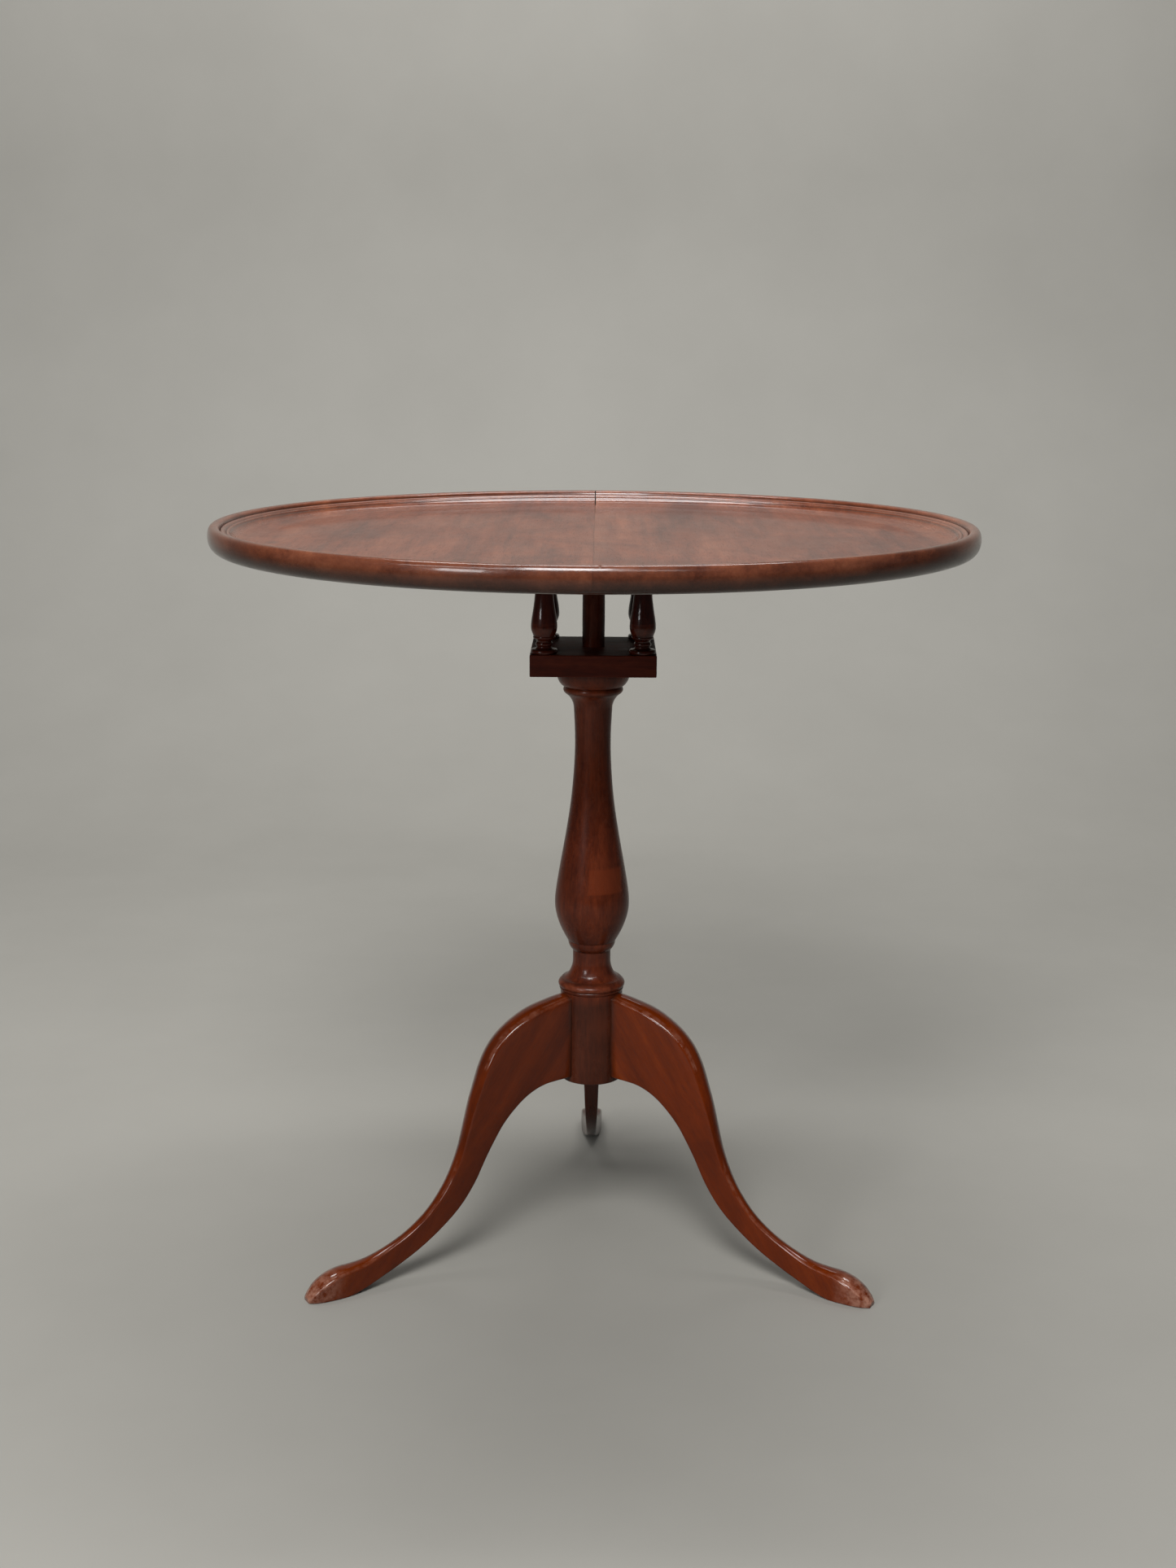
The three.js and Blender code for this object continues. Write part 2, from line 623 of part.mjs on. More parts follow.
// Stations along a leg, from the hub to the toe. Each one gives the upper edge and the
// lower edge as (distance from the pillar's axis, height), and half the leg's thickness.
const LEG_STATIONS = [
  { upper: [24, 258.5], lower: [24, 175.8], half: 10.4 },
  { upper: [46.4, 254.1], lower: [36, 175.8], half: 12 },
  { upper: [70.7, 247.3], lower: [47.2, 175.2], half: 12.2 },
  { upper: [93.8, 234.6], lower: [57.4, 173.5], half: 11.4 },
  { upper: [109.7, 219.3], lower: [68.7, 169.4], half: 11 },
  { upper: [119.9, 201.2], lower: [80.1, 162.6], half: 10.7 },
  { upper: [127.1, 181.2], lower: [92.2, 151.7], half: 10.2 },
  { upper: [133.1, 163.4], lower: [101.7, 140.5], half: 9.5 },
  { upper: [138.4, 144.2], lower: [108.8, 129.1], half: 8.7 },
  { upper: [145.3, 120.4], lower: [119.1, 110.4], half: 7.6 },
  { upper: [154.7, 97.8], lower: [131.6, 86], half: 7 },
  { upper: [165.8, 79.5], lower: [146.4, 65], half: 6.4 },
  { upper: [181, 62], lower: [165.4, 47], half: 5.7 },
  { upper: [201, 47], lower: [188.9, 30.2], half: 5.3 },
  { upper: [223.2, 35.8], lower: [213.4, 17.4], half: 5.7 },
  { upper: [242.8, 28.6], lower: [233.2, 9.6], half: 7.4 },
  { upper: [257.9, 26], lower: [248.6, 4], half: 9 },
  { upper: [272, 24.6], lower: [265, 0], half: 10.6 },
  { upper: [284, 21], lower: [280, 0], half: 11.4 },
  { upper: [294.6, 15], lower: [292, 0], half: 10.8 },
  { upper: [301.6, 8.4], lower: [300.4, 0], half: 8.6 },
  { upper: [306, 3.6], lower: [305.6, 0], half: 5 },
];

// A station's cross-section, from the lower edge round the upper edge and back. Each corner
// is (share of the way up, share of the half thickness, crown as a share of the half thickness).
const LEG_SECTION = [
  [0, 0.8, 0], [0.05, 1, 0], [0.5, 1.02, 0], [0.97, 1, 0], [1, 0.96, 0.03], [1, 0.5, 0.2],
];
const LEG_CROWN = 0.25; // the middle of the upper edge

function legRing(upper, lower, half) {
  const edge = new THREE.Vector2().subVectors(upper, lower);
  const rise = (share, crown) =>
    lower.clone().addScaledVector(edge, share + (crown * half) / edge.length());
  const side = LEG_SECTION.map(([share, wide, crown]) => {
    const point = rise(share, crown);
    return [point.x, wide * half, Math.max(point.y, 0)];
  });
  const top = rise(1, LEG_CROWN);
  const otherSide = side.map(([x, y, z]) => [x, -y, z]).reverse();
  return [...side, [top.x, 0, top.y], ...otherSide].map((corner) => new THREE.Vector3(...corner));
}

// A closed skin over a run of rings that all have the same number of corners.
function loft(rings) {
  const count = rings[0].length;
  const positions = rings.flatMap((ring) => ring.flatMap((corner) => corner.toArray()));
  const index = [];
  for (let i = 0; i + 1 < rings.length; i += 1) {
    for (let j = 0; j < count; j += 1) {
      const next = (j + 1) % count;
      const [a, b] = [i * count + j, i * count + next];
      index.push(a, b, b + count, a, b + count, a + count);
    }
  }
  const capAt = (ringIndex, flip) => {
    const start = ringIndex * count;
    for (let j = 1; j + 1 < count; j += 1) {
      const pair = flip ? [start + j + 1, start + j] : [start + j, start + j + 1];
      index.push(start, ...pair);
    }
  };
  capAt(0, true);
  capAt(rings.length - 1, false);
  const geometry = new THREE.BufferGeometry();
  geometry.setAttribute('position', new THREE.Float32BufferAttribute(positions, 3));
  geometry.setIndex(index);
  return solidFrom(geometry);
}

function legBody() {
  const curveOf = (edge) =>
    new THREE.SplineCurve(LEG_STATIONS.map((station) => new THREE.Vector2(...station[edge])));
  const [upper, lower] = [curveOf('upper'), curveOf('lower')];
  const halves = new THREE.SplineCurve(LEG_STATIONS.map(({ half }, i) => new THREE.Vector2(i, half)));
  const steps = Math.round(1.25 * (LEG_STATIONS.length - 1));
  const rings = [];
  for (let i = 0; i <= steps; i += 1) {
    const t = i / steps;
    rings.push(legRing(upper.getPoint(t), lower.getPoint(t), halves.getPoint(t).y));
  }
  return loft(rings);
}

function leg(direction) {
  const hub = bar(HUB_RADIUS + GAP, HUB_BASE - 10, 275, 0, 0, ROUND_SEGMENTS);
  const solid = legBody().subtract(hub).add(dovetail(TONGUE_BASE, TONGUE_TOP));
  return turnedAboutZ(solid, direction);
}

function tripod() {
  const group = new THREE.Group();
  add(group, 'pillar', pillar(), pillarWood);
  for (const [name, direction] of Object.entries(LEG_DIRECTIONS)) {
    add(group, name, leg(direction), legWood);
  }
  add(group, 'retaining_washer', retainingWasher(), brass);
  add(group, 'retaining_screw', retainingScrew(), steel);
  return group;
}

table.add(tripod(), birdcage(), tableTop(), cleats(), slidingCatch());

export default table;
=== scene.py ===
import math

import bmesh
import bpy
from mathutils import Matrix, Vector, noise


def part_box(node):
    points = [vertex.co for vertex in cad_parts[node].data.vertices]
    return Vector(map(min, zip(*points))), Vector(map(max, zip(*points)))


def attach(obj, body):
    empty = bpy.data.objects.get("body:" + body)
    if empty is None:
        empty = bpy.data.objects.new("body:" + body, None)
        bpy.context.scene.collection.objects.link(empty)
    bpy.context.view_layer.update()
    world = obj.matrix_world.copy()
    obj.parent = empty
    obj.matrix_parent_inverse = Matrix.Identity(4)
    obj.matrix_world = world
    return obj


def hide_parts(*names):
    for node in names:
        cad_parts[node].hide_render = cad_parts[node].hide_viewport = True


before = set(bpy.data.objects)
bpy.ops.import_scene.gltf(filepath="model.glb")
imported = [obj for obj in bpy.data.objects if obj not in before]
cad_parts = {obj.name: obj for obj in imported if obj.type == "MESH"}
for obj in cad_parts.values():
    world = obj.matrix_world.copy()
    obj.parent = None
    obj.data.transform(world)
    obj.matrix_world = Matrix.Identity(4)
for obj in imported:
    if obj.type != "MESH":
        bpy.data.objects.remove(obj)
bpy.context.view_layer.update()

MM = 0.001


def mm_box(node):
    """Lowest and highest corners of a CAD node, in millimetres."""
    low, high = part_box(node)
    return low / MM, high / MM


# ---- Driving dimensions, from the frame --------------------------------------

TOP_RADIUS = mm_box("top_board_right")[1].x
TOP_BASE = mm_box("top_board_right")[0].z
TOP_CREST = mm_box("top_board_right")[1].z
PILLAR_BASE = mm_box("pillar")[0].z
PILLAR_TOP = mm_box("pillar")[1].z
LOWER_BOARD = mm_box("cage_lower_board")
UPPER_BOARD = mm_box("cage_upper_board")
HUB_RADIUS = 30.2
SPINDLE_RADIUS = 10.5
BORE_RADIUS = SPINDLE_RADIUS + 0.3
HINGE_X, HINGE_Z = 48.0, 681.0
PINTLE_RADIUS = 6.0
COUNTERBORE_RADIUS = 17.0
COUNTERBORE_DEPTH = 11.6
LEG_DIRECTIONS = {"leg_left": 210, "leg_right": 330, "leg_rear": 90}


# ---- Outlines ------------------------------------------------------------------

class Outline:
    """A run of (radius, height) points made of straight, bent and smooth stretches."""

    def __init__(self, *start):
        self.points = [Vector(start)]

    def line(self, *to):
        self.points.append(Vector(to))
        return self

    def bend(self, control, to, steps=10):
        """A quadratic curve towards control and on to its end."""
        start, control, to = self.points[-1], Vector(control), Vector(to)
        for i in range(1, steps + 1):
            t = i / steps
            self.points.append(start * (1 - t) ** 2 + control * 2 * t * (1 - t) + to * t * t)
        return self

    def curve(self, first, second, to, steps=14):
        """A cubic curve with two controls."""
        start, first, second, to = self.points[-1], Vector(first), Vector(second), Vector(to)
        for i in range(1, steps + 1):
            t = i / steps
            u = 1 - t
            point = start * u**3 + first * 3 * t * u * u + second * 3 * t * t * u + to * t**3
            self.points.append(point)
        return self

    def smooth(self, through, steps=8):
        """A smooth curve through every point given."""
        knots = [self.points[-1]] + [Vector(p) for p in through]
        for i in range(len(knots) - 1):
            for step in range(1, steps + 1):
                self.points.append(spline_point(knots, i, step / steps))
        return self


def spline_point(knots, i, t):
    """A point between knots i and i + 1 of a Catmull-Rom spline."""
    a, b = knots[max(i - 1, 0)], knots[i]
    c, d = knots[i + 1], knots[min(i + 2, len(knots) - 1)]
    return 0.5 * (2 * b + (c - a) * t + (2 * a - 5 * b + 4 * c - d) * t * t
                  + (3 * b - a - 3 * c + d) * t**3)


# ---- Mesh building ----------------------------------------------------------------

def new_object(name, verts, faces, sharp=35):
    """A smooth-shaded object from corners in millimetres, creased above an angle in degrees."""
    mesh = bpy.data.meshes.new(name)
    mesh.from_pydata([Vector(v) * MM for v in verts], [], faces)
    mesh.update()
    bm = bmesh.new()
    bm.from_mesh(mesh)
    bmesh.ops.remove_doubles(bm, verts=bm.verts, dist=1e-7)
    bmesh.ops.recalc_face_normals(bm, faces=bm.faces)
    bm.to_mesh(mesh)
    bm.free()
    obj = bpy.data.objects.new(name, mesh)
    bpy.context.scene.collection.objects.link(obj)
    crease(obj, sharp)
    return obj


def crease(obj, sharp=35):
    obj.data.polygons.foreach_set("use_smooth", [True] * len(obj.data.polygons))
    obj.data.set_sharp_from_angle(angle=math.radians(sharp))


def turned(name, points, segments=128, centre=(0, 0), sweep=(0, 360), shake=0.0, sharp=35):
    """A turning about an upright axis. A part sweep gets flat ends. shake is the unevenness."""
    first, last = (math.radians(angle) for angle in sweep)
    whole = abs(last - first) > 2 * math.pi - 1e-6
    count = segments if whole else segments + 1
    verts, faces = [], []
    for i in range(count):
        angle = first + (last - first) * i / segments
        across = Vector((math.cos(angle), math.sin(angle), 0))
        for r, z in points:
            spot = Vector((centre[0], centre[1], z)) + across * r
            if shake and r > 1:
                spot += across * shake * noise.noise(spot * 0.02)
            verts.append(spot)
    n = len(points)
    for i in range(segments):
        a, b = i * n, (i + 1) % count * n
        faces += [(a + j, b + j, b + j + 1, a + j + 1) for j in range(n - 1)]
    if not whole:
        faces += [tuple(range(n)), tuple(reversed(range((count - 1) * n, count * n)))]
    return new_object(name, verts, faces, sharp)


def rounded_block(name, low, high, radius=1.2, steps=3):
    """A block with rounded edges between two corners."""
    bm = bmesh.new()
    bmesh.ops.create_cube(bm, size=1)
    size = Vector(high) - Vector(low)
    for vert in bm.verts:
        vert.co = Vector(low) + Vector((c + 0.5) * s for c, s in zip(vert.co, size))
        vert.co *= MM
    bmesh.ops.bevel(bm, geom=bm.edges[:], offset=radius * MM, segments=steps,
                    profile=0.6, affect="EDGES")
    mesh = bpy.data.meshes.new(name)
    bm.to_mesh(mesh)
    bm.free()
    obj = bpy.data.objects.new(name, mesh)
    bpy.context.scene.collection.objects.link(obj)
    crease(obj)
    return obj


def apply_modifiers(obj):
    bpy.context.view_layer.update()
    graph = bpy.context.evaluated_depsgraph_get()
    mesh = bpy.data.meshes.new_from_object(obj.evaluated_get(graph))
    obj.modifiers.clear()
    obj.data = mesh
    return obj


def cut(obj, cutters, kind="DIFFERENCE"):
    """Joins the cutters to obj, or takes them away, and deletes them."""
    for cutter in cutters:
        modifier = obj.modifiers.new("cut", "BOOLEAN")
        modifier.operation = kind
        modifier.solver = "EXACT"
        modifier.object = cutter
        apply_modifiers(obj)
        bpy.data.objects.remove(cutter)
    crease(obj)
    return obj


def rod(radius, start, end, segments=64):
    """A round bar between two points, for cutting and joining."""
    start, end = Vector(start), Vector(end)
    along = (end - start).normalized()
    side = along.orthogonal().normalized()
    other = along.cross(side)
    verts, faces = [], []
    for spot in (start, end):
        for i in range(segments):
            angle = 2 * math.pi * i / segments
            verts.append(spot + (side * math.cos(angle) + other * math.sin(angle)) * radius)
    for i in range(segments):
        j = (i + 1) % segments
        faces.append((i, j, segments + j, segments + i))
    faces += [tuple(reversed(range(segments))), tuple(range(segments, 2 * segments))]
    return new_object("cutter", verts, faces)


# ---- Shaders -------------------------------------------------------------------------

class Shader:
    """A material's node tree, built one node at a time."""

    def __init__(self, name):
        self.material = bpy.data.materials.new(name)
        self.material.use_nodes = True
        self.tree = self.material.node_tree
        self.tree.nodes.clear()

    def node(self, kind, inputs=None, **settings):
        made = self.tree.nodes.new("ShaderNode" + kind)
        for key, value in settings.items():
            setattr(made, key, value)
        for key, value in (inputs or {}).items():
            socket = made.inputs[key]
            if isinstance(value, bpy.types.NodeSocket):
                self.tree.links.new(value, socket)
            else:
                socket.default_value = value
        return made

    def noise(self, vector, scale, detail=3.0, rough=0.55, distortion=0.0):
        made = self.node("TexNoise", {
            "Vector": vector, "Scale": scale, "Detail": detail,
            "Roughness": rough, "Distortion": distortion})
        return made.outputs["Fac"]

    def stretch(self, vector, scale, offset=(0, 0, 0)):
        made = self.node("Mapping", {"Vector": vector, "Scale": scale, "Location": offset})
        return made.outputs["Vector"]

    def ramp(self, value, low, high, to_low=0.0, to_high=1.0):
        made = self.node("MapRange", {
            "Value": value, "From Min": low, "From Max": high,
            "To Min": to_low, "To Max": to_high}, clamp=True)
        return made.outputs["Result"]

    def math(self, operation, a, b=0.0):
        made = self.node("Math", {0: a, 1: b}, operation=operation)
        return made.outputs[0]

    def mix(self, factor, a, b):
        made = self.tree.nodes.new("ShaderNodeMix")
        made.data_type = "RGBA"
        sockets = (made.inputs[0], made.inputs[6], made.inputs[7])
        for socket, value in zip(sockets, (factor, a, b)):
            if isinstance(value, bpy.types.NodeSocket):
                self.tree.links.new(value, socket)
            else:
                socket.default_value = value
        return made.outputs[2]

    def attribute(self, name):
        return self.node("Attribute", attribute_name=name).outputs["Fac"]

    def finish(self, **inputs):
        named = {key.replace("_", " "): value for key, value in inputs.items()}
        surface = self.node("BsdfPrincipled", named)
        out = self.node("OutputMaterial")
        self.tree.links.new(surface.outputs[0], out.inputs[0])
        return self.material


def colour(hex_value):
    """A linear colour from an sRGB hex number."""
    parts = [(hex_value >> shift & 255) / 255 for shift in (16, 8, 0)]
    linear = [c / 12.92 if c <= 0.04045 else ((c + 0.055) / 1.055) ** 2.4 for c in parts]
    return (*linear, 1.0)


GRAIN_TURNS = {"X": (0, math.radians(90), 0), "Y": (math.radians(90), 0, 0), "Z": (0, 0, 0)}
PORE_TONE = (0.012, 0.004, 0.003, 1)
SCAR_TONE = (0.03, 0.012, 0.008, 1)
JOINT_TONE = (0.02, 0.008, 0.005, 1)
# Tone for the darkening: painted shade, and darker quirks and crevices.
DIRT_AND_SHADE_TONE = (0.012, 0.005, 0.003, 1)
BARE_TONE = (0.085, 0.042, 0.026, 1)


def wood(name, palette, grain="Z", seed=0.0, rough=0.34, coat=0.25, figure=1.0,
         board=0.0, lean=0.0, shine=0.12):
    """Old polished hardwood. palette is (dark, middle, light, worn); grain is the axis that the
    fibres follow; board adds a table board's broad bands, scars and centre joint; lean tips the
    fibres, in degrees; shine is the specular level."""
    s = Shader(name)
    place = s.node("TexCoord").outputs["Object"]
    turn = Vector(GRAIN_TURNS[grain]) + Vector((0, math.radians(lean), 0))
    turned_place = s.node("Mapping", {"Vector": place, "Rotation": turn,
                                      "Location": (seed, seed * 0.7, seed * 1.3)})
    along = turned_place.outputs["Vector"]

    broad = s.noise(s.stretch(along, (1, 1, 0.18)), 17.0, 3, 0.6, 0.6)
    rings = s.noise(s.stretch(along, (1, 1, 0.05)), 95.0, 3, 0.6, 0.35)
    fleck = s.noise(s.stretch(along, (1, 1, 0.2)), 330.0, 3, 0.65)
    fibre = s.noise(s.stretch(along, (1, 1, 0.016)), 900.0, 2, 0.6)
    pore = s.noise(s.stretch(along, (1, 1, 0.035)), 2100.0, 1, 0.5)
    mottle = s.noise(s.stretch(along, (1, 1, 0.35)), 38.0, 4, 0.6)
    smudge = s.noise(s.stretch(place, (1, 1, 1), (3.1, 1.7, 0.4)), 9.0, 4, 0.65, 0.8)

    tone = s.math("ADD", s.math("MULTIPLY", broad, 0.45),
                  s.math("MULTIPLY", rings, 0.25 * figure))
    tone = s.math("ADD", tone, s.math("MULTIPLY", fleck, 0.2 * figure))
    tone = s.math("ADD", tone, s.math("MULTIPLY", fibre, 0.1 * figure))
    if board:
        band = s.noise(s.stretch(along, (1, 1, 0.05)), 9.0, 2, 0.5)
        tone = s.math("ADD", tone, s.ramp(band, 0.3, 0.7, -board, board))
    dark, middle, light, worn = palette
    half = 0.275 + 0.225 * figure
    low = s.mix(s.ramp(tone, half - 0.13, half), dark, middle)
    body = s.mix(s.ramp(tone, half, half + 0.15), low, light)
    body = s.mix(s.ramp(smudge, 0.45, 0.7, 0.0, 0.3 + 5 * board), body, dark)
    pores = s.ramp(pore, 0.6, 0.72, 0.0, 0.45)
    body = s.mix(pores, body, PORE_TONE)
    # Lighter worn tone where the mesh asks for it: real wear on most pieces, and partly a painted
    # highlight along the legs' upper arrises.
    wear_and_sheen = s.attribute("wear_and_sheen")
    wear_and_sheen_patch = s.math("MULTIPLY", wear_and_sheen, s.ramp(s.noise(place, 120.0, 4, 0.7), 0.38, 0.62))
    body = s.mix(wear_and_sheen_patch, body, worn)
    body = s.mix(s.math("MULTIPLY", s.attribute("inlay"), 0.65), body, light)
    if board:
        scar = s.node("TexVoronoi", {"Vector": s.stretch(along, (1, 1, 0.5)), "Scale": 6.5})
        scars = s.ramp(scar.outputs["Distance"], 0.015, 0.06, 0.6, 0.0)
        body = s.mix(scars, body, SCAR_TONE)
        aside = s.math("ABSOLUTE", s.node("SeparateXYZ", {0: place}).outputs[0])
        body = s.mix(s.ramp(aside, 0.0003, 0.001, 0.15, 0.0), body, JOINT_TONE)
    # Darkening stored on each mesh: painted shade on the cage, hub, shaft, legs and the rim's
    # lower edge, and darker quirks and crevices.
    dirt_and_shade = s.math("MULTIPLY", s.attribute("dirt_and_shade"), s.ramp(mottle, 0.2, 0.7, 0.7, 1.0))
    body = s.mix(dirt_and_shade, body, DIRT_AND_SHADE_TONE)
    bare = s.attribute("bare")
    body = s.mix(s.math("MULTIPLY", bare, 0.5), body, BARE_TONE)

    roughness = s.math("ADD", s.ramp(mottle, 0.3, 0.7, rough - 0.06, rough + 0.07),
                       s.math("MULTIPLY", wear_and_sheen_patch, 0.12))
    roughness = s.math("ADD", roughness, s.math("MULTIPLY", pores, 0.2))
    roughness = s.math("SUBTRACT", roughness, s.math("MULTIPLY", s.attribute("polish"), 0.2))
    roughness = s.math("ADD", roughness, s.math("MULTIPLY", bare, 0.35))
    height = s.math("SUBTRACT", s.math("MULTIPLY", fibre, 0.35), pores)
    height = s.math("ADD", height, s.math("MULTIPLY", mottle, 0.5))
    bump = s.node("Bump", {"Height": height, "Strength": 0.18, "Distance": 0.0004})
    return s.finish(Base_Color=body, Roughness=roughness, Normal=bump.outputs["Normal"],
                    Coat_Weight=coat, Coat_Roughness=0.08, IOR=1.45, Specular_IOR_Level=shine)


def metal(name, base, stain, rough=0.38, seed=0.0):
    """Aged metal: a dull tone with darker stains and fine rubbing marks."""
    s = Shader(name)
    place = s.node("TexCoord").outputs["Object"]
    place = s.stretch(place, (1, 1, 1), (seed, seed, seed))
    stains = s.noise(place, 160.0, 5, 0.65, 0.4)
    rub = s.noise(s.stretch(place, (1, 6, 1)), 1400.0, 2, 0.6)
    body = s.mix(s.ramp(stains, 0.42, 0.68), base, stain)
    roughness = s.math("ADD", s.ramp(stains, 0.3, 0.7, rough - 0.08, rough + 0.2),
                       s.ramp(rub, 0.3, 0.7, 0.0, 0.08))
    bump = s.node("Bump", {"Height": s.math("ADD", stains, s.math("MULTIPLY", rub, 0.4)),
                           "Strength": 0.15, "Distance": 0.0002})
    return s.finish(Base_Color=body, Roughness=roughness, Normal=bump.outputs["Normal"],
                    Metallic=1.0)


TOP_PALETTE = (colour(0x442115), colour(0x623422), colour(0x784630), colour(0x8C5B40))
PILLAR_PALETTE = (colour(0x321009), colour(0x53200E), colour(0x703018), colour(0x82422A))
LEG_PALETTE = (colour(0x381002), colour(0x581E02), colour(0x732F05), colour(0x946B5A))
CAGE_PALETTE = (colour(0x200803), colour(0x3A1006), colour(0x52200F), colour(0x682C16))
CLEAT_PALETTE = (colour(0x34160D), colour(0x5B2C1B), colour(0x774029), colour(0x8B5A3E))


def paint(obj, material):
    obj.data.materials.clear()
    obj.data.materials.append(material)


def shade_by(obj, name, value_at):
    """Stores a value from 0 to 1 at each corner of the mesh, for the shader to read."""
    layer = obj.data.attributes.get(name) or obj.data.attributes.new(name, "FLOAT", "POINT")
    values = [min(max(value_at(vert.co / MM, vert.normal), 0.0), 1.0)
              for vert in obj.data.vertices]
    layer.data.foreach_set("value", values)


def hand_in(obj, body, node):
    """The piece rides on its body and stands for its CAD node."""
    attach(obj, body)
    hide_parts(node)
    return obj


# ---- Table top ------------------------------------------------------------------------

FIELD_Z = TOP_CREST - 12.6
ROLL_CREST = TOP_RADIUS - 6
SEAM_HALF = 0.03
SEAM_GAP = 0.55
NICK_RADIUS = 1.2


def rim_outline():
    """From the middle of the underside, round the rim, to the middle of the field."""
    r, top, base = TOP_RADIUS, TOP_CREST, TOP_BASE
    outline = Outline(0, base)
    for radius in (90, 180, 260, 320):
        outline.line(radius, base)
    outline.line(r - 13, base)
    outline.curve((r - 4.1, base), (r, base + 6), (r, base + 14), 16)
    outline.curve((r, top - 3.9), (r - 1.8, top), (ROLL_CREST, top), 16)
    outline.curve((r - 9.8, top), (r - 11.3, top - 2.1), (r - 11.5, top - 5.5), 12)
    outline.bend((r - 13, top - 1.9), (r - 16.9, top - 6.1), 12)
    outline.bend((r - 18.8, top - 4.3), (r - 20.6, top - 7.3), 10)
    outline.line(r - 21.4, top - 7.7)
    outline.bend((r - 25.1, top - 11.8), (r - 30.0, top - 12.0), 12)
    outline.line(r - 31.3, FIELD_Z)
    for radius in (300, 240, 160, 80):
        outline.line(radius, FIELD_Z)
    return outline.line(0, FIELD_Z).points


def top_board(node, sweep, seed):
    """Half of the round top. The glue line has opened in the rear rim, and the front rim has a
    nick beside it."""
    board = turned(node + "_fine", rim_outline(), 240, sweep=sweep, shake=0.12, sharp=50)
    side = 1 if node.endswith("right") else -1
    for vert in board.data.vertices:
        spot = vert.co / MM
        across = math.hypot(spot.x, spot.y)
        if abs(spot.x) < 0.01:
            open_inside = TOP_RADIUS - 34 < spot.y < TOP_RADIUS - 8 and spot.z > FIELD_Z - 1
            spot.x = side * (SEAM_HALF + (SEAM_GAP if open_inside else 0))
        if across > 300 and spot.z > TOP_CREST - 6:
            spot.z += 0.08 * noise.noise(Vector((spot.x, spot.y, 40)) * 0.013)
            spot.z = min(spot.z, TOP_CREST + 0.1)
        vert.co = spot * MM
    if side > 0:
        outside = (6.6, -TOP_RADIUS - 2, TOP_CREST - 1.8)
        inside = (4.4, 12 - TOP_RADIUS, TOP_CREST + 0.7)
        cut(board, [rod(NICK_RADIUS, outside, inside, 12)])
    shade_by(board, "wear_and_sheen", rim_wear)
    shade_by(board, "dirt_and_shade", rim_dirt_and_shade)
    shade_by(board, "polish", lambda p, n: (math.hypot(p.x, p.y) - TOP_RADIUS + 34) / 12)
    shade_by(board, "bare", lambda p, n: 1 if p.z < TOP_BASE + 1 else 0)
    paint(board, wood(node + "_wood", TOP_PALETTE, "Y", seed, rough=0.4, coat=0.25,
                      board=0.05, shine=0.3))
    return hand_in(board, "top", node)


def rim_wear(p, normal):
    across = math.hypot(p.x, p.y)
    crest = 1 - abs(across - ROLL_CREST) / 5
    if p.z < TOP_CREST - 3:
        crest = 0
    return 0.15 * max(crest, 0)


def rim_dirt_and_shade(p, normal):
    """Darker in the quirks between the mouldings and on the outer edge, with painted shade
    growing towards the bottom of the outer edge.
    """
    across = math.hypot(p.x, p.y)
    quirks = (TOP_RADIUS - 11.6, TOP_RADIUS - 17.0, TOP_RADIUS - 21.0)
    near = max(1 - abs(across - quirk) / 1.1 for quirk in quirks)
    if p.z < FIELD_Z + 1:
        near = 0
    edge = 0.3 if across > ROLL_CREST - 2 else 0
    # Painted shade on the lower outer edge, which faces down.
    under = (TOP_BASE + 21 - p.z) / 14 if across > TOP_RADIUS - 14 else 0
    return max(near * 0.9, edge, min(under, 0.95))


top_board("top_board_right", (-90, 90), 1.3)
top_board("top_board_left", (90, 270), 4.1)


# ---- Cleats -----------------------------------------------------------------------------

CLEAT_TAPER = 60
CLEAT_TIP_DEPTH = 9


def cleat(node, side, seed):
    low, high = mm_box(node)
    mid = (low.y + high.y) / 2
    end, shoulder = high.x, high.x - CLEAT_TAPER
    tip = high.z - CLEAT_TIP_DEPTH
    outline = [(-end, high.z), (-end, tip), (-shoulder, low.z),
               (shoulder, low.z), (end, tip), (end, high.z)]
    verts = [(x, y, z) for y in (low.y, high.y) for x, z in outline]
    n = len(outline)
    faces = [tuple(range(n)), tuple(reversed(range(n, 2 * n)))]
    faces += [(i, (i + 1) % n, n + (i + 1) % n, n + i) for i in range(n)]
    batten = new_object(node + "_fine", verts, faces)
    bevel = batten.modifiers.new("ease", "BEVEL")
    bevel.width = 1.4 * MM
    bevel.segments = 3
    apply_modifiers(batten)
    inner = low.y if side > 0 else high.y
    cutters = [rod(PINTLE_RADIUS + 0.3, (HINGE_X, inner - side * 5, HINGE_Z),
                   (HINGE_X, inner + side * 15.5, HINGE_Z))]
    for i in range(1, 9):
        screw_low, screw_high = mm_box(f"cleat_screw_{i}")
        x, y = ((screw_low + screw_high) / 2).xy
        if low.y < y < high.y:
            cutters.append(countersink(x, y, screw_low.z))
    cut(batten, cutters)
    shade_by(batten, "dirt_and_shade", lambda p, n: 0.35 if abs(p.y - mid) > 11 else 0.15)
    paint(batten, wood(node + "_wood", CLEAT_PALETTE, "X", seed, rough=0.55, coat=0.0))
    return hand_in(batten, "top", node)


def countersink(x, y, z):
    """A cutter for a screw head that sits flush with z, from below."""
    outline = Outline(0, z - 2).line(4.3, z - 2).line(4.3, z + 0.3).line(2.2, z + 2.9)
    return turned("cutter", outline.line(2.2, z + 12).line(0, z + 12).points, 32, (x, y))


cleat("cleat_front", -1, 2.2)
cleat("cleat_rear", 1, 6.4)


# ---- Birdcage ------------------------------------------------------------------------------

